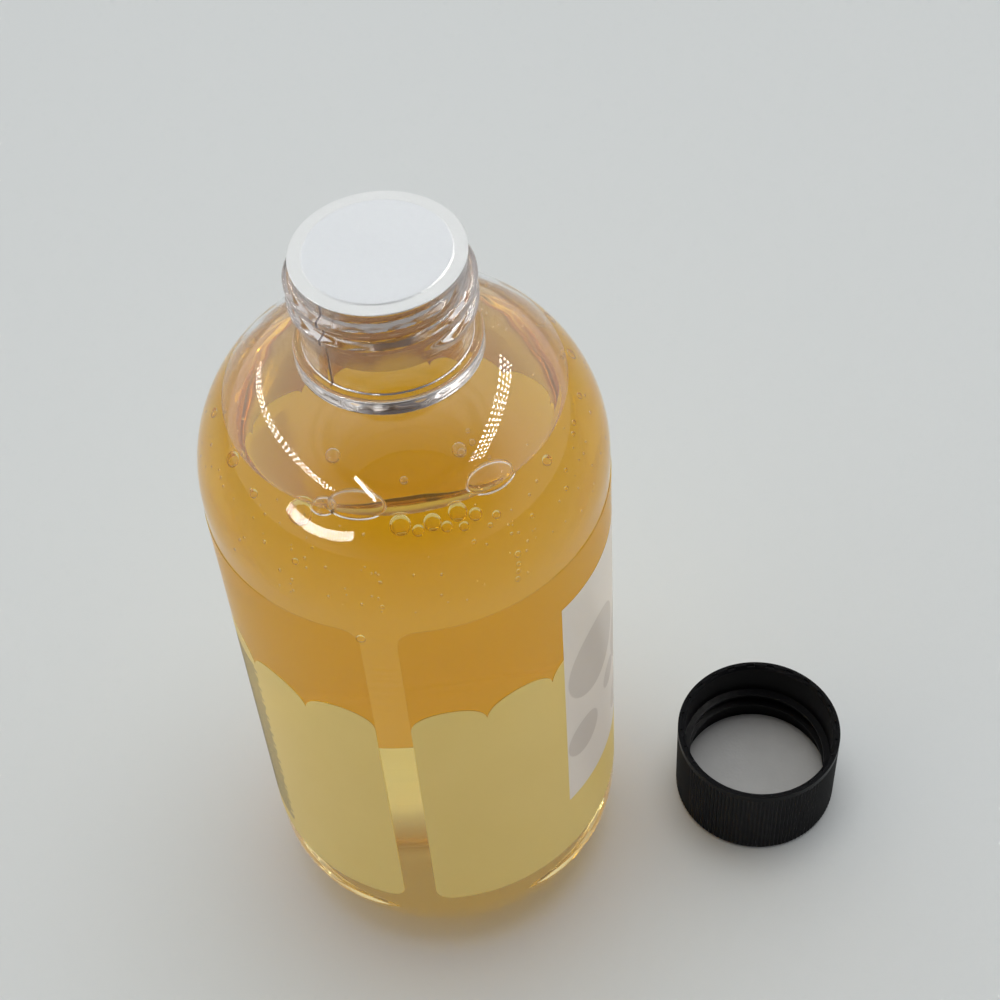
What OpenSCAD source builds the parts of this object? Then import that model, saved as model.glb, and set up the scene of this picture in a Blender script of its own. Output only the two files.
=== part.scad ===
// Clear round bottle of bubble bath, sealed with a foil disc, with its screw cap taken off.
// Millimetres, +Z up. The origin is on the bottle's axis, in the plane that it stands on.
// The front faces -Y. Angles around the axis run from there towards +X.

/* [Bottle body] */
// Outside diameter of the round body
body_d = 64; // [58:0.5:72]
// Height from the surface that the bottle stands on to its sealing land
bottle_h = 146; // [138:0.5:180]
// Wall of the blown body
body_wall = 0.6; // [0.4:0.1:1]
// Radius of the heel, where the side turns under
heel_r = 16; // [10:0.5:20]
// Radius of the shoulder's round
shoulder_r = 25.2; // [22:0.1:26]
// Width of the flat ring that the bottle stands on
stand_w = 2; // [1:0.25:4]
// Height of the hollow pushed up into the base
push_up_h = 3.2; // [1.5:0.1:5]
// Wall at the middle of the base, which blowing stretches least
base_wall = 1.4; // [0.8:0.1:2.4]

/* [Neck] */
// Outside diameter of the neck under its thread
neck_d = 25.1; // [24.5:0.05:26.5]
// Bore of the neck
bore_d = 21.7; // [20:0.1:22.5]
// Height of the neck from the shoulder to the sealing land
finish_h = 18; // [16.5:0.1:20]
// Diameter of the ring at the foot of the neck
ring_d = 28; // [27.5:0.1:30]
// Height of that ring above the shoulder
ring_h = 2.6; // [1.5:0.1:3]
// Radius of the ring's top edge
ring_edge_r = 0.9; // [0.3:0.1:1]

/* [Screw thread] */
// Diameter over the neck's thread
thread_d = 27.4; // [26.8:0.1:28.4]
// Rise of the thread in one turn
thread_pitch = 3.5; // [3:0.1:3.8]
// Turns of the thread, from one faded end to the other
thread_turns = 2.1; // [1.25:0.05:2.2]
// Width of the thread where it meets the neck
thread_root_w = 2.3; // [1.6:0.1:2.4]
// Width of the thread's crest
thread_crest_w = 0.9; // [0.4:0.1:1.2]
// Depth of the thread's upper end below the sealing land, to its middle
thread_start_depth = 1.85; // [1.6:0.05:3]
// Angle around the axis of the thread's upper end
thread_start_turn = -20; // [-180:5:180]
// Angle over which each end of the thread fades into the neck
thread_fade = 24; // [10:1:40]

/* [Foil seal] */
// Thickness of the foil and its film
foil_t = 0.2; // [0.1:0.05:0.4]
// Overhang of the foil past the sealing land
foil_lap = 0.1; // [0:0.05:0.3]
// Height of the foil's middle above the ring that is pressed on the land
foil_pillow = 0.15; // [0.05:0.05:0.4]
// Width of the slope between the foil's middle and that ring
foil_slope_w = 0.4; // [0.2:0.1:1]

/* [Bubble bath] */
// Depth of the liquid's surface below the sealing land
headspace = 27.3; // [20:0.1:60]
// Clearance between the liquid and the wall in this model
fill_clear = 0.1; // [0.02:0.01:0.2]

/* [Label] */
// Thickness of the label's clear film
label_t = 0.1; // [0.05:0.01:0.3]
// Clearance between the label and the wall in this model
label_clear = 0.02; // [0.01:0.01:0.1]
// Bare strip between the label's two ends
label_gap = 5.65; // [2:0.05:12]
// Angle around the axis of that strip's middle
label_gap_turn = -90; // [-180:1:180]
// Bare height of straight side above and below the label
label_margin = 3.6; // [1:0.1:10]
// Radius of the label's corners
label_corner_r = 3; // [1:0.25:6]

/* [Cap] */
// Height of the cap
cap_h = 18.6; // [17.5:0.1:21]
// Wall of the cap's skirt, ribs included
cap_wall = 1.3; // [1.1:0.05:2]
// Thickness of the cap's closed end
cap_end_t = 1.5; // [1:0.1:2]
// Running clearance between the cap and the neck's thread
cap_clear = 0.3; // [0.15:0.05:0.5]
// Number of fine ribs around the skirt
rib_count = 120; // [90:2:140]
// Depth of the grooves between the ribs
rib_depth = 0.25; // [0.15:0.01:0.35]
// Smooth band at the cap's mouth
band_h = 1.3; // [0.8:0.1:3]
// Round edge of the cap's closed end
cap_edge_r = 1; // [0.5:0.1:1.2]
// Width and height of the chamfer inside the cap's mouth
mouth_chamfer = 0.6; // [0.3:0.05:0.8]
// Number of small notches in that chamfer
notch_count = 24; // [12:1:36]
// Width of a notch
notch_w = 1.5; // [0.8:0.1:2]
// Depth of a notch into the wall, past the chamfer
notch_deep = 0.2; // [0.1:0.05:0.4]
// Turns of the cap's thread
cap_thread_turns = 2; // [1.25:0.05:2.1]
// Width of the cap's thread at the skirt
cap_thread_root_w = 1.5; // [1:0.1:1.8]
// Width of the cap's thread at its crest
cap_thread_crest_w = 0.5; // [0.3:0.1:0.8]

/* [Cap liner] */
// Thickness of the liner disc
liner_t = 1; // [0.5:0.1:1.5]
// Clearance around the liner disc
liner_clear = 0.15; // [0.05:0.05:0.4]

/* [Layout] */
// Clear floor between the bottle's side and the cap that was set down beside it
cap_apart = 12.4; // [6:0.2:60]
// Direction of the cap from the bottle, from the front towards +X
cap_turn = 8.6; // [-180:0.2:180]

/* [Hidden] */
$fn = 96;
eps = 0.02;
// how far a cutter reaches past what it cuts
over = 1;

body_r = body_d / 2;
heel_x = body_r - heel_r;
dome_x = body_r - shoulder_r;
neck_r = neck_d / 2;
bore_r = bore_d / 2;
ring_r = ring_d / 2;
neck_foot_z = bottle_h - finish_h;
// the shoulder's round ends where it meets the ring at the foot of the neck
shoulder_z = neck_foot_z - sqrt(pow(shoulder_r, 2) - pow(ring_r - dome_x, 2));
stand_in_r = heel_x - stand_w;
fill_z = bottle_h - headspace;

thread_r = thread_d / 2;
// the bead starts this far inside the wall that carries it
thread_sink = 0.3;
thread_step = 8;
thread_end_share = 0.1;

foil_r = neck_r + foil_lap;
foil_z = bottle_h;

label_in_r = body_r + label_clear;
label_out_r = label_in_r + label_t;
label_z0 = heel_r + label_margin;
label_z1 = shoulder_z - label_margin;
label_half_turn = 180 - label_gap / 2 / body_r * 180 / PI;
label_middle_turn = label_gap_turn + 180;

cap_in_r = thread_r + cap_clear;
cap_r = cap_in_r + cap_wall;
cap_crest_r = neck_r + cap_clear;
cap_seat_z = cap_end_t + liner_t;
rib_z1 = cap_h - band_h;

// place on a cylinder of radius r at an angle from the front, towards +X
function at(r, turn, z) = [r * sin(turn), -r * cos(turn), z];

// a quarter of a circle in a section, from radius r at the side to height r at the top
module round_quarter(x, z, r, up) {
    intersection() {
        translate([x, z]) circle(r);
        translate([x, up ? z : z - r]) square([r, r]);
    }
}

// half section of a closed round body up to top_z, with its outline moved in by `inset`
module body_section(inset, top_z) {
    // straight side
    translate([0, heel_r]) square([body_r - inset, shoulder_z - heel_r]);
    // heel
    translate([0, inset]) square([heel_x, heel_r - inset]);
    round_quarter(heel_x, heel_r, heel_r - inset, false);
    // shoulder, up to the height asked for
    intersection() {
        union() {
            round_quarter(dome_x, shoulder_z, shoulder_r - inset, true);
            translate([0, shoulder_z]) square([dome_x, shoulder_r - inset]);
        }
        translate([0, shoulder_z]) square([body_r, top_z - shoulder_z]);
    }
}

// half section of the hollow under the base, a shallow dome with `lift` of wall above it
module push_up_section(lift) {
    dome_r = (pow(stand_in_r, 2) + pow(push_up_h, 2)) / 2 / push_up_h;
    intersection() {
        translate([0, push_up_h - dome_r]) circle(dome_r + lift);
        square([body_r, heel_r]);
    }
}

// a helical bead around the axis: its root at root_r, its crest at crest_r, its low end at z = 0
module helical_bead(root_r, crest_r, root_w, crest_w, pitch, turns, fade, start_turn) {
    steps = ceil(turns * 360 / thread_step);
    step_turn = turns * 360 / steps;
    // how much of its full height the bead has, which is little at its two ends
    function grown(i) = max(thread_end_share, min(1, i * step_turn / fade, (steps - i) * step_turn / fade));
    function ring(i) =
        let (turn = start_turn + i * step_turn, z = pitch * turns * i / steps,
             out = root_r + (crest_r - root_r) * grown(i),
             half = (crest_w + (root_w - crest_w) * grown(i)) / 2, tip = crest_w / 2 * grown(i))
        [at(root_r, turn, z - half), at(out, turn, z - tip), at(out, turn, z + tip), at(root_r, turn, z + half)];
    function strip(i, k) =
        let (a = 4 * i + k, b = 4 * i + (k + 1) % 4) [[a, b, b + 4], [a, b + 4, a + 4]];
    sides = [for (i = [0:steps - 1]) for (k = [0:3]) each strip(i, k)];
    last = 4 * steps;
    ends = [[2, 1, 0], [3, 2, 0], [last, last + 1, last + 2], [last, last + 2, last + 3]];
    faces = concat(sides, ends);
    outward = crest_r > root_r;
    polyhedron([for (i = [0:steps]) each ring(i)],
               outward ? faces : [for (f = faces) [f[2], f[1], f[0]]]);
}

// blown PET shell with its neck, open at the top, hollow down to the base
module bottle() color([0.86, 0.88, 0.88, 0.4]) {
    difference() {
        union() {
            rotate_extrude() difference() {
                union() {
                    body_section(0, neck_foot_z + eps);
                    square([neck_r, bottle_h]);
                    ring_section();
                }
                push_up_section(0);
            }
            neck_thread();
        }
        rotate_extrude() cavity_section(0);
    }
}

// rounded ring at the foot of the neck
module ring_section() {
    translate([0, neck_foot_z]) square([ring_r, ring_h - ring_edge_r]);
    translate([0, neck_foot_z]) square([ring_r - ring_edge_r, ring_h]);
    translate([ring_r - ring_edge_r, neck_foot_z + ring_h - ring_edge_r]) circle(ring_edge_r);
}

module neck_thread() {
    fall = thread_pitch * thread_turns;
    translate([0, 0, bottle_h - thread_start_depth - fall])
        helical_bead(neck_r - thread_sink, thread_r, thread_root_w, thread_crest_w, thread_pitch,
                     thread_turns, thread_fade, thread_start_turn - thread_turns * 360);
}

// half section of the hollow inside, and of what fills it, which is smaller by `gap`
module cavity_section(gap) {
    difference() {
        union() {
            body_section(body_wall + gap, bottle_h);
            translate([0, heel_r]) square([bore_r - gap, bottle_h]);
        }
        push_up_section(base_wall + gap);
    }
}

// amber liquid, which fills the body to part way up the shoulder
module bubble_bath() color([0.8, 0.5, 0.08, 0.7])
    rotate_extrude() intersection() {
        cavity_section(fill_clear);
        square([body_r, fill_z]);
    }

// foil disc bonded on the land: a flat pressed ring, with the middle standing a little proud
module foil_seal() color([0.84, 0.85, 0.86])
    translate([0, 0, foil_z]) rotate_extrude() {
        square([foil_r, foil_t]);
        polygon([[0, 0], [bore_r, 0], [bore_r, foil_t], [bore_r - foil_slope_w, foil_t + foil_pillow],
                 [0, foil_t + foil_pillow]]);
    }

// film label around the side, whose two ends leave a bare strip, with rounded corners
module wrap_label() color([0.82, 0.66, 0.3, 0.9]) {
    difference() {
        rotate([0, 0, label_middle_turn - 90 - label_half_turn]) translate([0, 0, label_z0])
            rotate_extrude(angle = 2 * label_half_turn)
                translate([label_in_r, 0]) square([label_t, label_z1 - label_z0]);
        for (side = [-1, 1]) for (end = [0, 1])
            label_corner_cut(label_middle_turn + side * label_half_turn, side, end);
    }
}

// what is cut from one of the label's corners to round it, seen square on from outside
module label_corner_cut(turn, side, end) {
    r = label_corner_r;
    translate([0, 0, end == 1 ? label_z1 : label_z0])
        rotate([0, 0, turn]) rotate([90, 0, 0])
            mirror([side > 0 ? 0 : 1, 0, 0]) mirror([0, end == 1 ? 0 : 1, 0])
                translate([0, 0, body_r / 2]) linear_extrude(body_r)
                    difference() {
                        translate([-r, -r]) square(r + over);
                        translate([-r, -r]) circle(r);
                    }
}

// where the upturned cap stands
module at_cap() translate(at(body_r + cap_apart + cap_r, cap_turn, 0)) children();

// outline of the ribbed skirt, seen along its axis: one vertex on each rib and one in each groove
module ribbed_outline() polygon([for (i = [0:2 * rib_count - 1])
    let (r = cap_r - (i % 2 == 0 ? 0 : rib_depth), a = i * 180 / rib_count) [r * cos(a), r * sin(a)]]);

// screw cap, upside down as it was set down: closed end on the floor, mouth upwards
module cap() color([0.08, 0.08, 0.09]) at_cap() difference() {
    union() {
        difference() {
            union() {
                intersection() {
                    linear_extrude(rib_z1) ribbed_outline();
                    rotate_extrude() round_foot_section();
                }
                translate([0, 0, rib_z1]) cylinder(r = cap_r, h = band_h);
            }
            translate([0, 0, cap_end_t]) cylinder(r = cap_in_r, h = cap_h);
            translate([0, 0, cap_h - mouth_chamfer])
                cylinder(r1 = cap_in_r, r2 = cap_in_r + mouth_chamfer, h = mouth_chamfer);
        }
        cap_thread();
    }
    for (i = [0:notch_count - 1]) rotate([0, 0, (i + 0.5) * 360 / notch_count])
        translate([cap_crest_r, -notch_w / 2, cap_h - mouth_chamfer / 2])
            cube([cap_in_r + mouth_chamfer + notch_deep - cap_crest_r, notch_w, mouth_chamfer]);
}

// half section of the skirt's outside with the round edge of the closed end
module round_foot_section() {
    translate([0, cap_edge_r]) square([cap_r + over, cap_h]);
    square([cap_r - cap_edge_r, cap_edge_r + eps]);
    translate([cap_r - cap_edge_r, cap_edge_r]) circle(cap_edge_r);
}

// the cap's thread runs below the neck's when the cap is on, half a pitch behind it
module cap_thread()
    translate([0, 0, cap_seat_z + thread_start_depth + thread_pitch / 2])
        helical_bead(cap_in_r + thread_sink, cap_crest_r, cap_thread_root_w, cap_thread_crest_w, thread_pitch,
                     cap_thread_turns, thread_fade, thread_start_turn);

// foam disc that lies in the closed end
module cap_liner() color([0.72, 0.73, 0.73]) at_cap()
    translate([0, 0, cap_end_t]) cylinder(r = cap_in_r - liner_clear, h = liner_t);

bottle();
bubble_bath();
foil_seal();
wrap_label();
cap();
cap_liner();
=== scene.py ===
import math
import bpy
import numpy as np
from mathutils import Euler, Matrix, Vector


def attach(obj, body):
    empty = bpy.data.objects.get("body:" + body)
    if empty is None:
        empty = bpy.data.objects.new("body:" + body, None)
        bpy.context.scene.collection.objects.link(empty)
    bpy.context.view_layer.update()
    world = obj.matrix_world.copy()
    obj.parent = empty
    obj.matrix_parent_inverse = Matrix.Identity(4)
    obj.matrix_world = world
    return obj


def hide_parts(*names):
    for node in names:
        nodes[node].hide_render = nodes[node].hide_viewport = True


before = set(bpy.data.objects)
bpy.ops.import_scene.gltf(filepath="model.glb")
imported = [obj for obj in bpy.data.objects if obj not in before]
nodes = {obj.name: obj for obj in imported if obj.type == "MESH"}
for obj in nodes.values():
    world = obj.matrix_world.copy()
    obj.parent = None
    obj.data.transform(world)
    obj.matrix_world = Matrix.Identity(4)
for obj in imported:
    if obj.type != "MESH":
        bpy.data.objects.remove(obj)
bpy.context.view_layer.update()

# Bottle
# One shell of clear PET, stretch blown from a moulded preform: a round body with a domed shoulder
# and a pushed-up base. Its neck is the preform's own, thick, with a thread and a foot ring.

MM = 0.001
BODY_R, BODY_WALL, BASE_WALL = 32.0, 0.6, 1.4
HEEL_R, SHOULDER_R = 16.0, 25.2
HEEL_X, DOME_X = BODY_R - HEEL_R, BODY_R - SHOULDER_R
STAND_R, PUSH_UP_H = 14.0, 3.2
PUSH_UP_R = (STAND_R ** 2 + PUSH_UP_H ** 2) / 2 / PUSH_UP_H
NECK_R, BORE_R, RIM_Z, NECK_FOOT_Z = 12.55, 10.85, 146.0, 128.0
RING_R, RING_H, RING_EDGE_R = 14.0, 2.6, 0.9
THREAD_R, THREAD_PITCH, THREAD_TOP_Z = 13.7, 3.5, 144.15
THREAD_FIRST, THREAD_LAST, THREAD_FADE = -776.0, -20.0, 24.0
THREAD_ROOT, THREAD_CREST, THREAD_FOOT_Z = 1.15, 0.4, 135.2
PARTING_TURN, PARTING_HALF_TURN, PARTING_H = -120.9, 0.8, 0.07
WAVE_H, WAVES_FROM_Z, WAVES_GROW_H = 0.007, 92.0, 8
WAVES = ((9, 0.31, 0.0), (16, -0.52, 1.0), (23, 0.84, 2.0))  # count around, lean per mm, phase
OUTSIDE_WAVES, OUTSIDE_WAVES_UP = 0.08, 40
RIPPLE_H, RIPPLE_FIRST_Z, RIPPLE_GROW_H, RIPPLE_STEP = 0.02, 77.0, 3, 0.45
RIPPLE_TURN, RIPPLE_HALF_TURN, RIPPLE_GROW_TURN = 270.0, 5.06, 1.4
RIPPLES = ((3.7, 0.0), (2.3, 1.0), (4.3, 2.0))  # radians per mm of height, phase
SHOULDER_Z = NECK_FOOT_Z - math.sqrt(SHOULDER_R ** 2 - (RING_R - DOME_X) ** 2)
DOME_LAST, NECK_STEP = 73.3, 0.165
LIQUID_EDGE_Z = 119.8
SIDES = 256
TURNS = np.arange(SIDES) * 360.0 / SIDES


def arc(x, z, r, first, last, steps):
    """Points on a circle around (x, z), by degrees from the outward level."""
    return [(x + r * math.cos(math.radians(a)), z + r * math.sin(math.radians(a)))
            for a in np.linspace(first, last, steps)]


def mesh_piece(name, points, faces, crease=38):
    """A smooth-shaded mesh object, sharp where faces meet at more than the crease angle."""
    mesh = bpy.data.meshes.new(name)
    mesh.from_pydata([tuple(map(float, p)) for p in points], [], faces)
    mesh.validate()
    mesh.shade_smooth()
    mesh.set_sharp_from_angle(angle=math.radians(crease))
    piece = bpy.data.objects.new(name, mesh)
    bpy.context.scene.collection.objects.link(piece)
    return piece


def revolve(name, section):
    """A closed smooth mesh around the axis. The section runs from the axis to the axis in
    millimetres, up the outside and down the inside. A radius is one number or one per side."""
    points, rows, faces = [], [], []
    turn = np.radians(TURNS)
    for r, z in section:
        if np.ndim(r) == 0 and r < 1e-6:
            rows.append([len(points)])
            points.append((0.0, 0.0, z * MM))
            continue
        r = np.broadcast_to(r, SIDES) * MM
        z = np.broadcast_to(z, SIDES) * MM
        rows.append(list(range(len(points), len(points) + SIDES)))
        points.extend(zip(r * np.sin(turn), -r * np.cos(turn), z))
    for low, high in zip(rows, rows[1:]):
        for k in range(SIDES):
            n = (k + 1) % SIDES
            if len(low) == 1:
                faces.append((low[0], high[n], high[k]))
            elif len(high) == 1:
                faces.append((low[k], low[n], high[0]))
            else:
                faces.append((low[k], low[n], high[n], high[k]))
    return mesh_piece(name, points, faces)


def smooth_step(x):
    x = np.clip(x, 0, 1)
    return x * x * (3 - 2 * x)


def from_parting(turn):
    """Degrees from a turn to the nearer of the neck mould's two parting lines."""
    return np.abs((turn - PARTING_TURN + 90) % 180 - 90)


def neck_outside(z):
    """Radius of the neck's outside at a height, for each side: wall, thread and parting lines."""
    proud = np.zeros(SIDES)
    for lap in range(-4, 2):
        turn = TURNS + 360 * lap
        grown = np.clip(np.minimum(turn - THREAD_FIRST, THREAD_LAST - turn) / THREAD_FADE, 0, 1)
        middle = THREAD_TOP_Z + THREAD_PITCH * (turn - THREAD_LAST) / 360
        flank = (THREAD_ROOT - np.abs(z - middle)) / (THREAD_ROOT - THREAD_CREST)
        thread = (THREAD_R - NECK_R) * smooth_step(flank) * smooth_step(grown)
        proud = np.maximum(proud, thread)
    return NECK_R + proud + PARTING_H * (from_parting(TURNS) < PARTING_HALF_TURN)


def blown_waves(z):
    """How far the blown skin of the shoulder swells at a height, for each side, in millimetres."""
    a = np.radians(TURNS)
    swell = sum(np.sin(count * a + lean * z + phase) for count, lean, phase in WAVES)
    return WAVE_H * swell * smooth_step((z - WAVES_FROM_Z) / WAVES_GROW_H)


def gap_ripples(z):
    """The same for the level ripples of the straight side, which the label's glue fills elsewhere."""
    bare = smooth_step((RIPPLE_HALF_TURN - np.abs(TURNS - RIPPLE_TURN)) / RIPPLE_GROW_TURN)
    swell = sum(math.sin(steepness * z + phase) for steepness, phase in RIPPLES)
    ends = (smooth_step((z - RIPPLE_FIRST_Z) / RIPPLE_GROW_H)
            * smooth_step((SHOULDER_Z - z) / RIPPLE_GROW_H))
    return RIPPLE_H * swell * bare * ends


def outside_section():
    """The outside's outline from the middle of the base up to the rim."""
    ring_edge_z = NECK_FOOT_Z + RING_H - RING_EDGE_R
    section = [(0.0, PUSH_UP_H)]
    section += [(r, PUSH_UP_H - PUSH_UP_R + math.sqrt(PUSH_UP_R ** 2 - r * r))
                for r in np.linspace(1, STAND_R, 14)]
    section += [(STAND_R + 0.2, 0.0)]
    section += arc(HEEL_X, HEEL_R, HEEL_R, -90, 0, 27)
    section += [(BODY_R, z) for z in np.linspace(HEEL_R, RIPPLE_FIRST_Z, 10)[1:]]
    section += [(BODY_R + gap_ripples(z), z)
                for z in np.arange(RIPPLE_FIRST_Z + RIPPLE_STEP, SHOULDER_Z - 0.15, RIPPLE_STEP)]
    section += [(r + OUTSIDE_WAVES * blown_waves(z + OUTSIDE_WAVES_UP), z)
                for r, z in arc(DOME_X, SHOULDER_Z, SHOULDER_R, 0, DOME_LAST, 46)]
    section += [(RING_R, z) for z in np.linspace(NECK_FOOT_Z, ring_edge_z, 4)[1:]]
    section += arc(RING_R - RING_EDGE_R, ring_edge_z, RING_EDGE_R, 10, 90, 9)
    section += [(NECK_R + 0.3, NECK_FOOT_Z + RING_H), (NECK_R + 0.1, NECK_FOOT_Z + RING_H + 0.1)]
    section += [(neck_outside(z), z)
                for z in np.arange(NECK_FOOT_Z + RING_H + 0.3, RIM_Z - 0.25, NECK_STEP)]
    return section + [(NECK_R, RIM_Z - 0.2), (NECK_R - 0.06, RIM_Z - 0.06), (NECK_R - 0.2, RIM_Z)]


def inside_section(into_wall, levels):
    """The hollow's outline from the first level down to the axis, with a corner at each level,
    moved into the wall by into_wall."""
    wall = BODY_WALL - into_wall
    dome_r, heel_r = SHOULDER_R - wall, HEEL_R - wall
    floor_r = PUSH_UP_R + BASE_WALL - into_wall
    floor_x, floor_z = HEEL_X - 0.6, PUSH_UP_H - PUSH_UP_R
    dome_top_z = SHOULDER_Z + math.sqrt(dome_r ** 2 - (BORE_R + into_wall - DOME_X) ** 2)
    turns = [math.degrees(math.asin((min(z, dome_top_z) - SHOULDER_Z) / dome_r)) for z in levels]
    turns.append(0.0)
    section = []
    for first, last in zip(turns, turns[1:]):
        steps = math.ceil((first - last) / 1.5) + 1
        section += arc(DOME_X, SHOULDER_Z, dome_r, first, last, steps)[:-1]
    section.append((BODY_R - wall, SHOULDER_Z))
    section += [(BODY_R - wall, z) for z in np.linspace(SHOULDER_Z, HEEL_R, 12)[1:-1]]
    section += arc(HEEL_X, HEEL_R, heel_r, 0, -90, 27)
    section += [(r, floor_z + math.sqrt(floor_r ** 2 - r * r)) for r in np.linspace(floor_x, 1, 16)]
    return section + [(0.0, floor_z + floor_r)]


rim_section = [(r, RIM_Z) for r in (12.1, 11.7, 11.3, BORE_R + 0.15)]
bore_section = [(BORE_R, z) for z in np.linspace(RIM_Z - 0.15, NECK_FOOT_Z + 0.2, 9)]
hollow_section = inside_section(0, (RIM_Z, LIQUID_EDGE_Z))
waved_inside = [(r + blown_waves(z) * (r > BORE_R), z) for r, z in hollow_section[:-1]]
bottle = revolve("bottle_shell", outside_section() + rim_section + bore_section
                 + waved_inside + hollow_section[-1:])


def linear(colour):
    """Linear red, green, blue and 1 from an sRGB hex colour."""
    parts = [int(colour[i:i + 2], 16) / 255 for i in (1, 3, 5)]
    return tuple(c / 12.92 if c <= 0.04045 else ((c + 0.055) / 1.055) ** 2.4 for c in parts) + (1.0,)


def node(tree, kind, settings=None, links=None):
    """Adds a node with its settings, by property or input, and links sockets to its inputs."""
    added = tree.nodes.new(kind)
    for key, value in (settings or {}).items():
        if isinstance(key, int) or key in added.inputs:
            added.inputs[key].default_value = value
        else:
            setattr(added, key, value)
    for key, socket in (links or {}).items():
        tree.links.new(socket, added.inputs[key])
    return added


def new_material(name):
    """A material with an empty node tree."""
    made = bpy.data.materials.new(name)
    made.use_nodes = True
    made.node_tree.nodes.clear()
    return made, made.node_tree


# Clear PET, stretch blown: it bends light like dense glass and is colourless at this thickness.
# Where liquid wets the inside, light bends only by the small step from PET to liquid. The neck
# isn't blown and its wall is thick; its thread has the satin of its steel mould, and a faint grey
# tint on it is painted shade, standing in for the shade under the foil and dark reflections in it.
# Where the mould's halves met, a fine line of flash is tinted dark: painted shade for the dark hairline
# its ridge shows.
CLEAR, WETTED, SATIN_SHADED, FLASH = 0, 1, 2, 3
FLASH_HALF_TURN = 0.71
PET_IOR, LIQUID_IOR = 1.575, 1.36
PET_FINISHES = (("clear_blown_pet", "#FFFFFF", 0.0, PET_IOR),
                ("blown_pet_wetted_inside", "#FFFFFF", 0.0, PET_IOR / LIQUID_IOR),
                ("satin_neck_pet_painted_shade", "#C2B9B6", 0.14, PET_IOR),
                ("parting_line_flash_painted_shade", "#5A5054", 0.3, PET_IOR))
for name, colour, roughness, ior in PET_FINISHES:
    pet, tree = new_material(name)
    shell = node(tree, "ShaderNodeBsdfPrincipled",
                 {"Base Color": linear(colour), "Roughness": roughness, "IOR": ior,
                  "Transmission Weight": 1.0})
    node(tree, "ShaderNodeOutputMaterial", links={"Surface": shell.outputs["BSDF"]})
    bottle.data.materials.append(pet)


def outward(polygon):
    """How far a face looks away from the axis, from -1 to 1."""
    middle = polygon.center.to_2d()
    return polygon.normal.to_2d().dot(middle) / max(middle.length, 1e-9)


for polygon in bottle.data.polygons:
    z = polygon.center.z / MM
    from_axis = polygon.center.to_2d().length / MM
    inner = outward(polygon) < -0.01 or z < HEEL_R and polygon.normal.z > 0.1
    polygon.material_index = WETTED if z < LIQUID_EDGE_Z and inner else CLEAR
    on_neck = NECK_FOOT_Z + RING_H < z < RIM_Z and from_axis > BORE_R + 0.3
    if on_neck and outward(polygon) > -0.2:
        turn = math.degrees(math.atan2(polygon.center.x, -polygon.center.y))
        if from_parting(turn) < FLASH_HALF_TURN:
            # The flash line's dark tint is painted shade.
            polygon.material_index = FLASH
        elif z > THREAD_FOOT_Z:
            # The thread's outside takes the satin finish, whose grey tint is painted shade.
            polygon.material_index = SATIN_SHADED
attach(bottle, "root")
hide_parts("bottle")

# Bubble bath
# The amber liquid itself, a clear water-based soap with colour in it. It fills the bottle to
# part way up the shoulder and creeps up the wall a little all around its surface.

FILL_Z, CREEP_W = 118.7, 0.8
CREEP_H = LIQUID_EDGE_Z - FILL_Z
INTO_WALL = 0.1


def liquid_section():
    """The liquid's outline from the base up the wall and over its surface to the axis."""
    reach = SHOULDER_R - BODY_WALL + INTO_WALL
    wall_r = DOME_X + math.sqrt(reach ** 2 - (LIQUID_EDGE_Z - SHOULDER_Z) ** 2)
    steps = np.concatenate([np.linspace(2, wall_r - 5, 8), np.linspace(wall_r - 4.5, wall_r - 0.08, 26)])
    surface = [(r, FILL_Z + CREEP_H * math.exp((r - wall_r) / CREEP_W)) for r in steps]
    return inside_section(INTO_WALL, (LIQUID_EDGE_Z,))[::-1] + surface[::-1] + [(0.0, FILL_Z)]


bubble_bath = revolve("amber_liquid", liquid_section())

# Soapy water with an amber dye: perfectly clear, a little denser than water, and its colour grows
# with the depth that light passes, from straw at a thin edge to deep amber across the body. Its
# free surface bends light. The side that wets the bottle leaves that to the bottle's wall.
liquid, tree = new_material("amber_soap_liquid")
free = node(tree, "ShaderNodeAttribute", {"attribute_name": "free_surface"})
bend = node(tree, "ShaderNodeMapRange", {"To Min": 1.0, "To Max": LIQUID_IOR},
            {"Value": free.outputs["Fac"]})
clear = node(tree, "ShaderNodeBsdfPrincipled",
             {"Base Color": linear("#FFFFFF"), "Roughness": 0.0, "Transmission Weight": 1.0},
             {"IOR": bend.outputs["Result"]})
dye = node(tree, "ShaderNodeVolumeAbsorption", {"Color": linear("#FCE800"), "Density": 19.0})
node(tree, "ShaderNodeOutputMaterial",
     links={"Surface": clear.outputs["BSDF"], "Volume": dye.outputs["Volume"]})
bubble_bath.data.materials.append(liquid)
free_surface = bubble_bath.data.attributes.new("free_surface", "FLOAT", "FACE")
for polygon in bubble_bath.data.polygons:
    is_free = polygon.center.z / MM > FILL_Z - 0.01 and outward(polygon) < 0.3
    free_surface.data[polygon.index].value = float(is_free)
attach(bubble_bath, "root")
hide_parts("bubble_bath")

# Bubbles in the liquid
# Air bubbles that shaking left behind: a row of round ones caught against the wall just under
# the surface, some lower down on the wall, and fine specks of air in the upper part.

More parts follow.
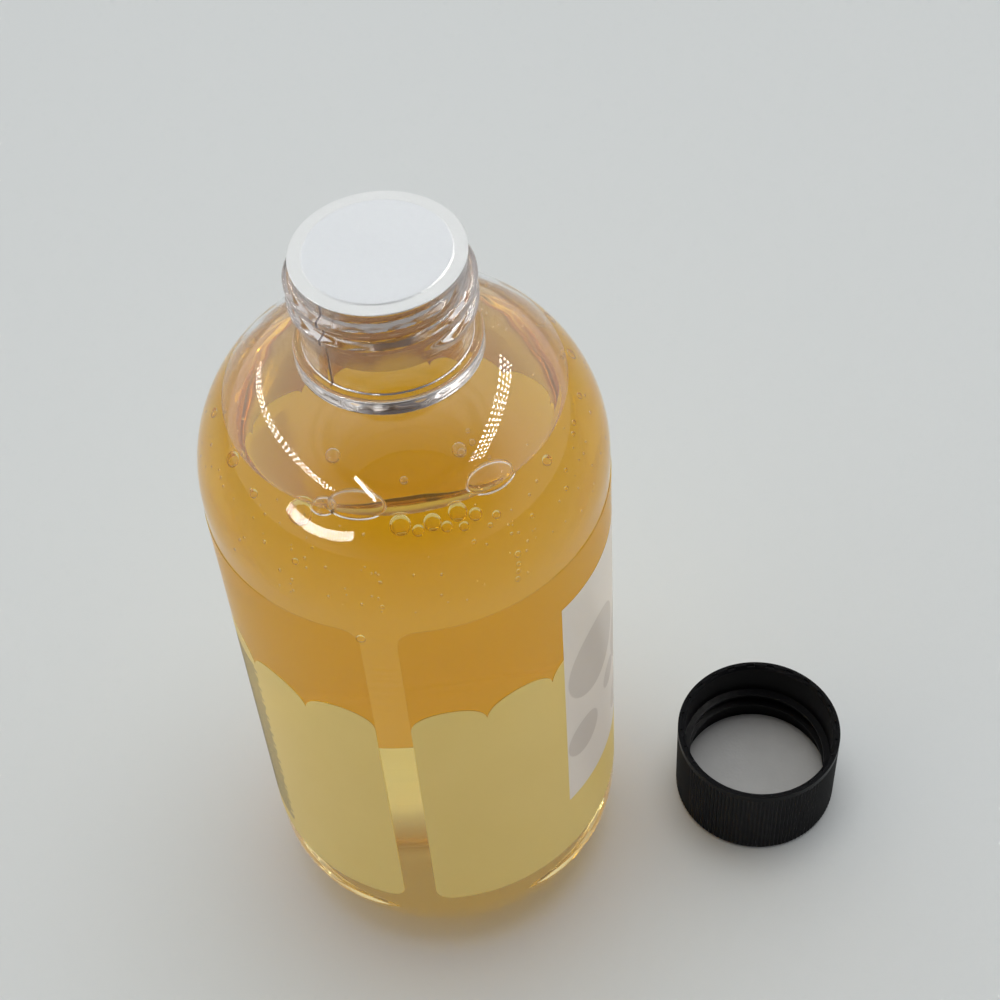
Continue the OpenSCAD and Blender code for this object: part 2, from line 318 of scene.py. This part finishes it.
WALL_BUBBLES = [  # turn in degrees, height and radius in millimetres
    (-114, 116.9, 1.9), (-80.5, 117.4, 1.55), (-75.2, 117.0, 0.9), (-70.5, 117.4, 1.3),
    (-66.5, 116.8, 0.85), (-62, 117.7, 1.4), (-61.5, 116.3, 0.75), (-57, 117.0, 1.0),
    (-51, 116.1, 0.65), (-54, 115.4, 0.4), (-27, 117.4, 0.85), (2.5, 117.0, 0.55),
    (-9, 117.1, 0.45), (-12.5, 116.6, 0.4), (-26.5, 112.8, 0.4), (-48.5, 109.2, 0.55),
    (-49, 107.6, 0.4), (-49.5, 106.3, 0.4), (-50, 104.8, 0.45), (-112, 111.1, 0.55),
    (-87.5, 105.9, 0.35), (-95, 97.5, 0.75), (-41, 113.5, 0.35), (-60, 114.2, 0.35),
    (-23.5, 114.8, 0.35), (20, 117.2, 0.9), (38, 117.0, 1.2), (64, 117.3, 0.8), (97, 117.1, 1.3),
    (121, 117.4, 0.9), (160, 117.2, 1.1), (-168, 117.0, 0.8), (-146, 117.3, 1.2), (-131, 116.8, 0.7)]
PRESSED_ON = 0.05
SPECKS, SPECK_R, SPECK_Z, SPECK_DEPTH = 230, (0.1, 0.26), (104, 117.6), 3.5


def on_axis_turn(r, turn, z):
    """A point by its distance from the axis, its turn from the front towards +X, and its height."""
    a = math.radians(turn)
    return Vector((r * math.sin(a), -r * math.cos(a), z)) * MM


def ball(points, faces, centre, r, sides, rows):
    """Adds a ball to lists of points and faces."""
    first = len(points)
    for i in range(1, rows):
        up, out = math.cos(math.pi * i / rows), math.sin(math.pi * i / rows)
        for k in range(sides):
            a = 2 * math.pi * k / sides
            points.append(centre + Vector((r * out * math.cos(a), r * out * math.sin(a), r * up)) * MM)
    top, bottom = len(points), len(points) + 1
    points += [centre + Vector((0, 0, r)) * MM, centre - Vector((0, 0, r)) * MM]
    last_row = first + (rows - 2) * sides
    for k in range(sides):
        n = (k + 1) % sides
        faces.append((first + k, first + n, top))
        for a in range(first, last_row, sides):
            b = a + sides
            faces.append((a + k, b + k, b + n, a + n))
        faces.append((bottom, last_row + n, last_row + k))


def wall_distance(z, r):
    """Distance from the axis at which a bubble of radius r is pressed on the wall at a height."""
    reach = SHOULDER_R - BODY_WALL - r
    rise = max(z - SHOULDER_Z, 0)
    return DOME_X + math.sqrt(reach ** 2 - rise ** 2) - PRESSED_ON


points, faces = [], []
for turn, z, r in WALL_BUBBLES:
    ball(points, faces, on_axis_turn(wall_distance(z, r), turn, z), r, 28, 16)
wall_bubbles = mesh_piece("bubbles_on_the_wall", points, faces, 180)

luck = np.random.default_rng(7)
points, faces = [], []
for _ in range(SPECKS):
    turn, z, r = luck.uniform(-180, 180), luck.uniform(*SPECK_Z), luck.uniform(*SPECK_R)
    from_axis = wall_distance(z, r) - abs(luck.normal(0, SPECK_DEPTH))
    ball(points, faces, on_axis_turn(from_axis, turn, z), r, 10, 6)
specks = mesh_piece("specks_of_air", points, faces, 180)

# Air inside the liquid: a bubble bends light the other way from a drop, so its index is below
# one. It is set nearer to one for the bubbles that lie flat on the wall: only their thin rims
# flash, and their middles stay as clear as the liquid around them.
for piece, name, ior in ((wall_bubbles, "air_flat_on_the_wall", 0.88),
                         (specks, "air_in_liquid", 1 / LIQUID_IOR)):
    air, tree = new_material(name)
    hollow = node(tree, "ShaderNodeBsdfPrincipled",
                  {"Base Color": linear("#FFFFFF"), "Roughness": 0.0, "IOR": ior,
                   "Transmission Weight": 1.0})
    node(tree, "ShaderNodeOutputMaterial", links={"Surface": hollow.outputs["BSDF"]})
    piece.data.materials.append(air)
    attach(piece, "root")

# Bubbles on the surface
# Thin domes of soap film that float at the edge of the surface, thicker at their feet, where
# liquid gathers, and small round ones that cling to the shoulder's wall above.

FILM_DOMES = [  # turn, distance from the axis, height, and radii around, outwards and up
    (-95.5, 23.2, FILL_Z, 4.3, 2.7, 2.0), (-46.5, 23.3, FILL_Z, 3.9, 2.6, 2.0),
    (-106, 24.6, FILL_Z, 1.9, 1.7, 1.4)]
FILM_T, FILM_FOOT_T, FILM_FOOT_TURN = 0.1, 0.42, 0.16
WALL_FILMS = [  # turn, height and radius
    (-77.8, 122.5, 0.63), (-53.3, 123.4, 1.1), (-53.3, 123.4, 0.66), (-107.6, 123.7, 1.13),
    (-49.5, 123.0, 0.4), (-47.5, 123.9, 0.5), (-46.6, 124.9, 0.35), (-45.0, 122.2, 0.3)]
WALL_FILM_HOLLOW = 0.86


def film_dome(points, faces, centre, radii, turn, sides=40, rows=12):
    """Adds a dome of film, hollow underneath, to lists of points and faces."""
    first = len(points)
    spin = Euler((0, 0, math.radians(turn))).to_matrix()
    for inner in (0, 1):
        for i in range(rows):
            rise = math.pi / 2 * (i / rows) ** 1.5
            foot = math.exp(-rise / FILM_FOOT_TURN)
            film_t = inner * (FILM_T + (FILM_FOOT_T - FILM_T) * foot)
            around, out, up = (radius - film_t for radius in radii)
            for k in range(sides):
                a = 2 * math.pi * k / sides
                place = Vector((around * math.cos(rise) * math.cos(a),
                                out * math.cos(rise) * math.sin(a), up * math.sin(rise)))
                points.append(centre + spin @ place * MM)
        points.append(centre + Vector((0, 0, radii[2] - inner * FILM_T)) * MM)
    size = rows * sides + 1
    for inner in (0, 1):
        base = first + inner * size
        for k in range(sides):
            n = (k + 1) % sides
            new = [(a + k, a + n, a + sides + n, a + sides + k)
                   for a in range(base, base + (rows - 1) * sides, sides)]
            last_row = base + (rows - 1) * sides
            new.append((last_row + k, last_row + n, last_row + sides))
            faces += [face[::-1] for face in new] if inner else new
    for k in range(sides):
        n = (k + 1) % sides
        faces.append((first + n, first + k, first + size + k, first + size + n))


points, faces = [], []
for turn, r, z, *radii in FILM_DOMES:
    film_dome(points, faces, on_axis_turn(r, turn, z + 0.1), radii, turn)
for turn, z, r in WALL_FILMS:
    middle = on_axis_turn(wall_distance(z, r) - PRESSED_ON, turn, z)
    ball(points, faces, middle, r, 24, 14)
    hollow_faces = []
    ball(points, hollow_faces, middle, r * WALL_FILM_HOLLOW, 24, 14)
    faces += [face[::-1] for face in hollow_faces]
domes = mesh_piece("soap_film_domes", points, faces, 60)

# Soap film: the same liquid in a skin so thin that only its edges show, as bright outlines.
film, tree = new_material("soap_film")
skin_of_soap = node(tree, "ShaderNodeBsdfPrincipled",
                    {"Base Color": linear("#FFFFFF"), "Roughness": 0.0, "IOR": 1.34,
                     "Transmission Weight": 1.0})
node(tree, "ShaderNodeOutputMaterial", links={"Surface": skin_of_soap.outputs["BSDF"]})
domes.data.materials.append(film)
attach(domes, "root")

# Foil seal
# A disc of aluminium foil backed with a film that induction heat melted onto the sealing land.
# The press left its ring flat, and its middle stands a little proud, softly creased. The ring's
# brightness is a painted sheen: a colour a little lighter than the middle's.

FOIL_R, FOIL_T, FOIL_PILLOW, FOIL_SLOPE_W, FOIL_EDGE_R = 12.65, 0.2, 0.15, 0.4, 0.05
foil_top, pillow_top = RIM_Z + FOIL_T, RIM_Z + FOIL_T + FOIL_PILLOW
foil_section = [(0.0, RIM_Z), (6, RIM_Z), (FOIL_R - FOIL_EDGE_R, RIM_Z),
                (FOIL_R, RIM_Z + FOIL_EDGE_R), (FOIL_R, foil_top - FOIL_EDGE_R),
                (FOIL_R - FOIL_EDGE_R, foil_top), (12.0, foil_top), (11.4, foil_top),
                (BORE_R + 0.1, foil_top)]
foil_section += [(BORE_R - FOIL_SLOPE_W * s, foil_top + FOIL_PILLOW * smooth_step(s))
                 for s in (0.15, 0.4, 0.7, 1.0)]
foil_section += [(r, pillow_top) for r in (9.4, 7, 4, 2, 0.0)]
foil = revolve("sealing_foil", foil_section)

# Aluminium foil, rolled and lacquered: a satin metal whose rolling grain spreads highlights one
# way, with shallow dents a few millimetres wide.
seal, tree = new_material("lacquered_aluminium_foil")
place = node(tree, "ShaderNodeTexCoord")
stretch = node(tree, "ShaderNodeMapping",
               {"Scale": (1.0, 0.25, 1.0), "Rotation": (0, 0, math.radians(20))},
               {"Vector": place.outputs["Object"]})
grain = node(tree, "ShaderNodeTexNoise", {"Scale": 4200.0, "Detail": 3.0},
             {"Vector": stretch.outputs["Vector"]})
dents = node(tree, "ShaderNodeTexNoise", {"Scale": 260.0, "Detail": 2.0},
             {"Vector": place.outputs["Object"]})
dented = node(tree, "ShaderNodeBump", {"Strength": 0.35, "Distance": 0.0002},
              {"Height": dents.outputs["Fac"]})
grained = node(tree, "ShaderNodeBump", {"Strength": 0.25, "Distance": 0.00005},
               {"Height": grain.outputs["Fac"], "Normal": dented.outputs["Normal"]})
tone = node(tree, "ShaderNodeMapRange", {"To Min": 0.3, "To Max": 0.5},
            {"Value": grain.outputs["Fac"]})
flat = node(tree, "ShaderNodeMapping", {"Scale": (1.0, 1.0, 0.0)},
            {"Vector": place.outputs["Object"]})
reach = node(tree, "ShaderNodeVectorMath", {"operation": "LENGTH"}, {0: flat.outputs["Vector"]})
pressed = node(tree, "ShaderNodeMapRange",
               {"From Min": (BORE_R - FOIL_SLOPE_W) * MM, "From Max": BORE_R * MM},
               {"Value": reach.outputs["Value"]})
# Painted sheen: the pressed ring takes a slightly lighter, more neutral colour than the middle.
painted_ring_sheen = node(tree, "ShaderNodeMix",
             {"data_type": "RGBA", 6: linear("#E2E4E6"), 7: linear("#E4E5E4")},
             {0: pressed.outputs["Result"]})
metal = node(tree, "ShaderNodeBsdfPrincipled", {"Metallic": 1.0},
             {"Base Color": painted_ring_sheen.outputs[2], "Roughness": tone.outputs["Result"],
              "Normal": grained.outputs["Normal"]})
node(tree, "ShaderNodeOutputMaterial", links={"Surface": metal.outputs["BSDF"]})
foil.data.materials.append(seal)
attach(foil, "root")
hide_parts("foil_seal")

# Label
# One clear self-adhesive film label that wraps the bottle, with a bare strip between its two ends.
# Its lower part carries an opaque cream ink with a scalloped upper edge, its front a white panel.

LABEL_IN_R, LABEL_OUT_R = 31.96, 32.1
LABEL_Z0, LABEL_Z1, LABEL_CORNER_R = 19.6, 100.24, 3.0
LABEL_FIRST, LABEL_LAST = -84.94, 264.94
SCALLOPS, SCALLOP_TOP_Z, SCALLOP_CUSP_Z = 16, 78.5, 74.0
SCALLOP_W = (LABEL_LAST - LABEL_FIRST) / SCALLOPS
SCALLOP_STEPS = (0, 0.2, 0.38, 0.55, 0.7, 0.82, 0.91, 0.97, 0.995)
CORNER_STEPS = (0, 0.03, 0.15, 0.4, 0.8, 1.3, 1.9, 2.5, 3.0)
PANEL_HALF, PANEL_Z0, PANEL_Z1 = 36.4, 34.9, 90.7
CLEAR_FILM, CREAM_INK, PANEL_INK, CUT_EDGE = 0, 1, 2, 3


def scallop_z(turn):
    """Height of the cream ink's upper edge at a turn around the bottle."""
    u = (turn - LABEL_FIRST) / SCALLOP_W % 1 * 2 - 1
    return SCALLOP_CUSP_Z + (SCALLOP_TOP_Z - SCALLOP_CUSP_Z) * math.sqrt(max(0, 1 - u * u))


def label_piece(name):
    """The label: a thin closed solid whose faces carry clear film, cream ink or the panel's ink."""
    edge = np.degrees(np.array(CORNER_STEPS) / BODY_R)
    arch = LABEL_FIRST + SCALLOP_W * (np.arange(SCALLOPS) + 0.5)
    near_cusps = [a + s * SCALLOP_W / 2 * c for a in arch for s in (-1, 1) for c in SCALLOP_STEPS]
    turns = np.concatenate([LABEL_FIRST + edge, LABEL_LAST - edge, near_cusps,
                            [-PANEL_HALF, PANEL_HALF]])
    turns = np.unique(np.round(turns, 4))
    points, faces, inks, columns = [], [], [], []
    for turn in turns:
        inset = math.radians(min(turn - LABEL_FIRST, LABEL_LAST - turn)) * BODY_R
        short = max(0, LABEL_CORNER_R - inset)
        cut = LABEL_CORNER_R - math.sqrt(max(0, LABEL_CORNER_R ** 2 - short ** 2))
        column = []
        for z in (LABEL_Z0 + cut, PANEL_Z0, 55.0, scallop_z(turn), PANEL_Z1, LABEL_Z1 - cut):
            column.append((len(points), len(points) + 1))
            points += [on_axis_turn(LABEL_IN_R, turn, z), on_axis_turn(LABEL_OUT_R, turn, z)]
        columns.append(column)
    for i, (left, right) in enumerate(zip(columns, columns[1:])):
        on_panel = abs((turns[i] + turns[i + 1]) / 2) < PANEL_HALF
        for j in range(5):
            ink = CREAM_INK if j < 3 else CLEAR_FILM
            if on_panel and 1 <= j <= 3:
                ink = PANEL_INK
            faces += [(left[j][1], right[j][1], right[j + 1][1], left[j + 1][1]),
                      (right[j][0], left[j][0], left[j + 1][0], right[j + 1][0])]
            inks += [ink, CLEAR_FILM if ink == CLEAR_FILM else CUT_EDGE]
        faces += [(left[0][0], right[0][0], right[0][1], left[0][1]),
                  (left[-1][1], right[-1][1], right[-1][0], left[-1][0])]
        inks += [CUT_EDGE, CUT_EDGE]
    for column, order in ((columns[0], 1), (columns[-1], -1)):
        for low, high in zip(column, column[1:]):
            faces.append((low[0], low[1], high[1], high[0])[::order])
            inks.append(CUT_EDGE)
    piece = mesh_piece(name, points, faces)
    for polygon, ink in zip(piece.data.polygons, inks):
        polygon.material_index = ink
    return piece


label = label_piece("wraparound_film_label")

# Clear polypropylene film: glossy, with a faint straw cast from its varnish and glue. The glue
# wets the bottle, so the film's face hardly shows and the wall under it does the shining. Its cut
# edge shows as a fine line.
clear_films = []
for name, ior in (("clear_polypropylene_film", 1.03), ("cut_edge_of_the_film", 1.49)):
    film_clear, tree = new_material(name)
    face = node(tree, "ShaderNodeBsdfPrincipled",
                {"Base Color": linear("#F8EFD9"), "Roughness": 0.0, "IOR": ior,
                 "Transmission Weight": 1.0})
    node(tree, "ShaderNodeOutputMaterial", links={"Surface": face.outputs["BSDF"]})
    clear_films.append(film_clear)

# Screen-printed ink under gloss film: nearly opaque, it lets some light glow through from behind,
# and its tone drifts slightly over a centimetre or so. The panel has grey balls printed on it.
# From inside the bottle only the first coat shows, a deeper yellow that is printed under both.
BALLS_ON_PANEL = [  # millimetres around from the front's middle, height and radius
    (-11.0, 69.0, 8.5), (-15.5, 50.5, 4.6), (-5.0, 55.0, 3.0), (8.0, 60.0, 11.0),
    (13.0, 79.5, 4.0), (1.5, 43.0, 5.0)]
BALL_EDGE = 0.12
INKS = (("cream_screen_ink", "#FBEDA2", "#F6E798", 0.35, []),
        ("white_screen_ink", "#FAF8F6", "#F6F4F2", 0.2, BALLS_ON_PANEL))
inks = []
for name, colour, shade, through, balls in INKS:
    made, tree = new_material(name)
    place = node(tree, "ShaderNodeTexCoord")
    drift = node(tree, "ShaderNodeTexNoise", {"Scale": 70.0, "Detail": 2.0},
                 {"Vector": place.outputs["Object"]})
    tone = node(tree, "ShaderNodeMix", {"data_type": "RGBA", 6: linear(colour), 7: linear(shade)},
                {0: drift.outputs["Fac"]})
    if balls:
        axes = node(tree, "ShaderNodeSeparateXYZ", {}, {0: place.outputs["Object"]})
        forward = node(tree, "ShaderNodeMath", {"operation": "MULTIPLY", 1: -1.0},
                       {0: axes.outputs[1]})
        turn = node(tree, "ShaderNodeMath", {"operation": "ARCTAN2"},
                    {0: axes.outputs[0], 1: forward.outputs[0]})
        around = node(tree, "ShaderNodeMath", {"operation": "MULTIPLY", 1: BODY_R},
                      {0: turn.outputs[0]})
        height = node(tree, "ShaderNodeMath", {"operation": "DIVIDE", 1: MM}, {0: axes.outputs[2]})
        spot = node(tree, "ShaderNodeCombineXYZ", {}, {0: around.outputs[0], 1: height.outputs[0]})
        outside = None
        for s, z, r in balls:
            away = node(tree, "ShaderNodeVectorMath", {"operation": "DISTANCE", 1: (s, z, 0)},
                        {0: spot.outputs[0]})
            past = node(tree, "ShaderNodeMath", {"operation": "SUBTRACT", 1: r},
                        {0: away.outputs["Value"]})
            if outside:
                past = node(tree, "ShaderNodeMath", {"operation": "MINIMUM"},
                            {0: outside.outputs[0], 1: past.outputs[0]})
            outside = past
        printed = node(tree, "ShaderNodeMapRange", {"From Min": BALL_EDGE, "From Max": -BALL_EDGE},
                       {"Value": outside.outputs[0]})
        tone = node(tree, "ShaderNodeMix", {"data_type": "RGBA", 7: linear("#E2DFDD")},
                    {0: printed.outputs["Result"], 6: tone.outputs[2]})
    face = node(tree, "ShaderNodeNewGeometry")
    tone = node(tree, "ShaderNodeMix", {"data_type": "RGBA", 7: linear("#FBE838")},
                {0: face.outputs["Backfacing"], 6: tone.outputs[2]})
    ink = node(tree, "ShaderNodeBsdfPrincipled",
               {"Roughness": 0.32, "IOR": 1.49, "Specular IOR Level": 0.4},
               {"Base Color": tone.outputs[2]})
    glow = node(tree, "ShaderNodeBsdfTranslucent", {}, {"Color": tone.outputs[2]})
    both = node(tree, "ShaderNodeMixShader", {0: through},
                {1: ink.outputs["BSDF"], 2: glow.outputs["BSDF"]})
    node(tree, "ShaderNodeOutputMaterial", links={"Surface": both.outputs["Shader"]})
    inks.append(made)
for material in (clear_films[0], *inks, clear_films[1]):
    label.data.materials.append(material)
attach(label, "root")
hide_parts("wrap_label")

# Rules on the label
# A block of thin grey rules printed on the label's back, at the scale of small print. Their ends
# are a little ragged, as lines of print are.

RULE_IN_R, RULE_OUT_R, RULE_HALF_H, RULE_PITCH = 32.102, 32.114, 0.2, 1.05
RULES_FIRST_Z, RULES_LAST_Z, RULE_HALF_W, RULE_RAGGED, RULE_SWING = 24.3, 72.6, 22.2, 0.6, 2.4
points, faces = [], []
for i, z in enumerate(np.arange(RULES_FIRST_Z, RULES_LAST_Z + 0.1, RULE_PITCH)):
    half = math.degrees((RULE_HALF_W + RULE_RAGGED * math.sin(RULE_SWING * i)) / BODY_R)
    corners = ((RULE_IN_R, z - RULE_HALF_H), (RULE_OUT_R, z - RULE_HALF_H),
               (RULE_OUT_R, z + RULE_HALF_H), (RULE_IN_R, z + RULE_HALF_H))
    columns = []
    for turn in 180 + np.linspace(-half, half, 80):
        columns.append(len(points))
        points += [on_axis_turn(r, turn, height) for r, height in corners]
    for a, b in zip(columns, columns[1:]):
        faces += [(a + k, b + k, b + (k + 1) % 4, a + (k + 1) % 4) for k in range(4)]
    faces += [tuple(columns[0] + k for k in range(4)),
              tuple(columns[-1] + k for k in (3, 2, 1, 0))]
rules = mesh_piece("printed_rules", points, faces)

# Screen-printed ink, opaque and satin.
grey_ink, tree = new_material("grey_screen_ink")
print_face = node(tree, "ShaderNodeBsdfPrincipled",
                  {"Base Color": linear("#6E6A58"), "Roughness": 0.4, "IOR": 1.49,
                   "Specular IOR Level": 0.4})
node(tree, "ShaderNodeOutputMaterial", links={"Surface": print_face.outputs["BSDF"]})
rules.data.materials.append(grey_ink)
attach(rules, "root")

# Cap
# A ribbed screw cap moulded in black polypropylene, turned upside down. Its skirt has fine
# ribs for the fingers, a smooth band at the mouth, small notches in the rim and a screw thread.

cap = nodes["cap"]

# Polypropylene, injection moulded in a spark-finished mould: satin black, with a fine grain
# that blurs its highlights.
polypropylene, tree = new_material("black_moulded_polypropylene")
place = node(tree, "ShaderNodeTexCoord")
grain = node(tree, "ShaderNodeTexNoise", {"Scale": 2600.0, "Detail": 2.0},
             {"Vector": place.outputs["Object"]})
worn = node(tree, "ShaderNodeMapRange", {"To Min": 0.3, "To Max": 0.44},
            {"Value": grain.outputs["Fac"]})
sparked = node(tree, "ShaderNodeBump", {"Strength": 0.2, "Distance": 0.00006},
               {"Height": grain.outputs["Fac"]})
plastic = node(tree, "ShaderNodeBsdfPrincipled",
               {"Base Color": linear("#09090B"), "IOR": 1.49, "Specular IOR Level": 0.08},
               {"Roughness": worn.outputs["Result"], "Normal": sparked.outputs["Normal"]})
node(tree, "ShaderNodeOutputMaterial", links={"Surface": plastic.outputs["BSDF"]})
cap.data.materials.clear()
cap.data.materials.append(polypropylene)

# Cap liner
# A disc of white polyethylene foam, punched from sheet and pressed into the cap's closed end,
# where it seals against the bottle's rim.

liner = nodes["cap_liner"]
# Polyethylene foam, white, here given mid-grey tones: the greyness is painted shade of the cap's hollow,
# and the blotches between its two tones fall at random.
foam, tree = new_material("polyethylene_foam_painted_shade")
place = node(tree, "ShaderNodeTexCoord")
cells = node(tree, "ShaderNodeTexVoronoi", {"Scale": 1500.0}, {"Vector": place.outputs["Object"]})
pitted = node(tree, "ShaderNodeBump", {"Strength": 0.3, "Distance": 0.0001},
              {"Height": cells.outputs["Distance"]})
blotch = node(tree, "ShaderNodeTexNoise", {"Scale": 220.0, "Detail": 2.0},
              {"Vector": place.outputs["Object"]})
tone = node(tree, "ShaderNodeMix",
            {"data_type": "RGBA", 6: linear("#BFBFBD"), 7: linear("#B4B4B2")},
            {0: blotch.outputs["Fac"]})
soft = node(tree, "ShaderNodeBsdfPrincipled", {"Roughness": 0.6, "IOR": 1.5},
            {"Base Color": tone.outputs[2], "Normal": pitted.outputs["Normal"]})
node(tree, "ShaderNodeOutputMaterial", links={"Surface": soft.outputs["BSDF"]})
liner.data.materials.clear()
liner.data.materials.append(foam)

# Table
# The pale board that the bottle and its cap stand on, wide enough to fill the view.

TABLE_HALF, TABLE_Z = 3, -0.00005
corners = [(x * TABLE_HALF, y * TABLE_HALF, TABLE_Z) for x, y in ((-1, -1), (1, -1), (1, 1), (-1, 1))]
floor = mesh_piece("pale_board", corners, [(0, 1, 2, 3)])

# Painted board: even and matt, with faint clouds in its tone about a third of a metre wide.
board, tree = new_material("pale_painted_board")
place = node(tree, "ShaderNodeTexCoord")
cloud = node(tree, "ShaderNodeTexNoise", {"Scale": 3.0, "Detail": 1.0},
             {"Vector": place.outputs["Object"]})
tone = node(tree, "ShaderNodeMix",
            {"data_type": "RGBA", 6: linear("#DADDDC"), 7: linear("#D4D7D6")},
            {0: cloud.outputs["Fac"]})
paint = node(tree, "ShaderNodeBsdfPrincipled", {"Roughness": 0.55, "Specular IOR Level": 0.2},
             {"Base Color": tone.outputs[2]})
node(tree, "ShaderNodeOutputMaterial", links={"Surface": paint.outputs["BSDF"]})
floor.data.materials.append(board)

# Light
# A light tent: an even pale glow from all around, with one darker opening high up on the camera's
# side, a broad soft lamp above, and four strips of small lamps, which show only as reflections.

scene = bpy.context.scene
scene.view_settings.view_transform = "Standard"
scene.world = bpy.data.worlds.new("light_tent")
scene.world.use_nodes = True
tree = scene.world.node_tree
tree.nodes.clear()
sky = node(tree, "ShaderNodeTexCoord")
opening = node(tree, "ShaderNodeVectorMath",
               {"operation": "DOT_PRODUCT", 1: (-0.7, -0.175, 0.692)},
               {0: sky.outputs["Generated"]})
depth = node(tree, "ShaderNodeMapRange",
             {"interpolation_type": "SMOOTHSTEP", "From Min": 0.35, "From Max": 0.95},
             {"Value": opening.outputs["Value"]})
tent = node(tree, "ShaderNodeMix",
            {"data_type": "RGBA", 6: linear("#F8FAFB"), 7: linear("#5E5C60")},
            {0: depth.outputs["Result"]})
glow = node(tree, "ShaderNodeBackground", {"Strength": 1.0}, {"Color": tent.outputs[2]})
node(tree, "ShaderNodeOutputWorld", links={"Surface": glow.outputs["Background"]})


def towards(turn, rise, distance):
    """A point around the shoulder, by its turn, its rise above level and its distance in metres."""
    a, e = math.radians(turn), math.radians(rise)
    way = Vector((math.sin(a) * math.cos(e), -math.cos(a) * math.cos(e), math.sin(e)))
    return way * distance + Vector((0, 0, 0.1))


lamp = bpy.data.lights.new("roof_lamp", "AREA")
lamp.shape, lamp.size, lamp.energy, lamp.color = "DISK", 0.7, 2.9, linear("#FFFFFF")[:3]
held = bpy.data.objects.new("roof_lamp", lamp)
held.location = towards(76, 84, 0.9)
held.rotation_euler = (Vector((0, 0, 0.06)) - held.location).to_track_quat("-Z", "Y").to_euler()
held.visible_glossy = held.visible_transmission = False
scene.collection.objects.link(held)

# Small lamps: plain warm-white light that reaches clear and glossy faces, but not by way of a
# matt one, so that the strips give highlights and don't light the table.
lamp_glow, tree = new_material("small_lamp_glow")
route = node(tree, "ShaderNodeLightPath")
direct = node(tree, "ShaderNodeMath", {"operation": "LESS_THAN", 1: 0.5},
              {0: route.outputs["Diffuse Depth"]})
power = node(tree, "ShaderNodeMath", {"operation": "MULTIPLY", 1: 55.0}, {0: direct.outputs[0]})
shine = node(tree, "ShaderNodeEmission", {"Color": linear("#FFFBF4")},
             {"Strength": power.outputs[0]})
node(tree, "ShaderNodeOutputMaterial", links={"Surface": shine.outputs["Emission"]})
lamp_glow.cycles.emission_sampling = "NONE"


def lamp_strip(name, first, last, across, rows, count, size, gap, bow=0.0):
    """A strip of small square lamps between two points in metres, in rows beside each other, a
    gap apart. Its middle may be bowed across."""
    across = across.normalized()
    along = (last - first).normalized()
    points, faces = [], []
    for row in range(rows):
        for i in range(count):
            part = i / (count - 1)
            aside = (row - (rows - 1) / 2) * (size + gap) + bow * 4 * part * (1 - part)
            middle = first.lerp(last, part) + across * aside
            start = len(points)
            points += [middle + along * u * size / 2 + across * v * size / 2
                       for u, v in ((-1, -1), (1, -1), (1, 1), (-1, 1))]
            faces.append((start, start + 1, start + 2, start + 3))
    strip = mesh_piece(name, points, faces)
    strip.data.materials.append(lamp_glow)
    for way in ("visible_camera", "visible_diffuse", "visible_shadow", "visible_volume_scatter"):
        setattr(strip, way, False)


spin = Euler((0, 0, math.radians(-76.16))).to_matrix()
UP = Vector((0, 0, 1))
lamp_strip("roof_strip_right", spin @ Vector((0.5, -0.364, 0.737)), spin @ Vector((0.5, 0.39, 0.583)),
           spin @ Vector((1, 0, 0.3)), rows=4, count=19, size=0.017, gap=0.032)
lamp_strip("roof_strip_left", spin @ Vector((-0.6, -0.468, 0.69)), spin @ Vector((-0.6, 0.665, 0.36)),
           spin @ Vector((1, 0, -0.3)), rows=3, count=28, size=0.017, gap=0.034)
lamp_strip("front_edge_strip", towards(-144, 14.0, 0.9), towards(-108, 14.0, 0.9),
           UP, rows=6, count=28, size=0.0095, gap=0.008, bow=-0.07)
lamp_strip("front_side_strip", towards(-117, 51, 0.9), towards(-99, 40, 0.9),
           UP, rows=4, count=18, size=0.01, gap=0.004)

# Camera
# Looks down on the bottle's left side and the cap, as the photograph does.

eye = bpy.data.cameras.new("camera")
eye.lens, eye.sensor_width = 68.2, 36.0
camera = bpy.data.objects.new("camera", eye)
camera.location = (-0.19045, -0.04692, 0.32428)
camera.rotation_euler = Euler([math.radians(a) for a in (39.847, 2.935, -83.827)])
scene.collection.objects.link(camera)
scene.camera = camera

# Enough bounces for light to cross the film, the wall, the liquid and its bubbles and come out
# again, and no blur on the clear walls for light that the ink has scattered, which would be lost.
scene.cycles.max_bounces = 120
scene.cycles.transmission_bounces = 120
scene.cycles.glossy_bounces = 48
scene.cycles.diffuse_bounces = 16
scene.cycles.blur_glossy = 0.0
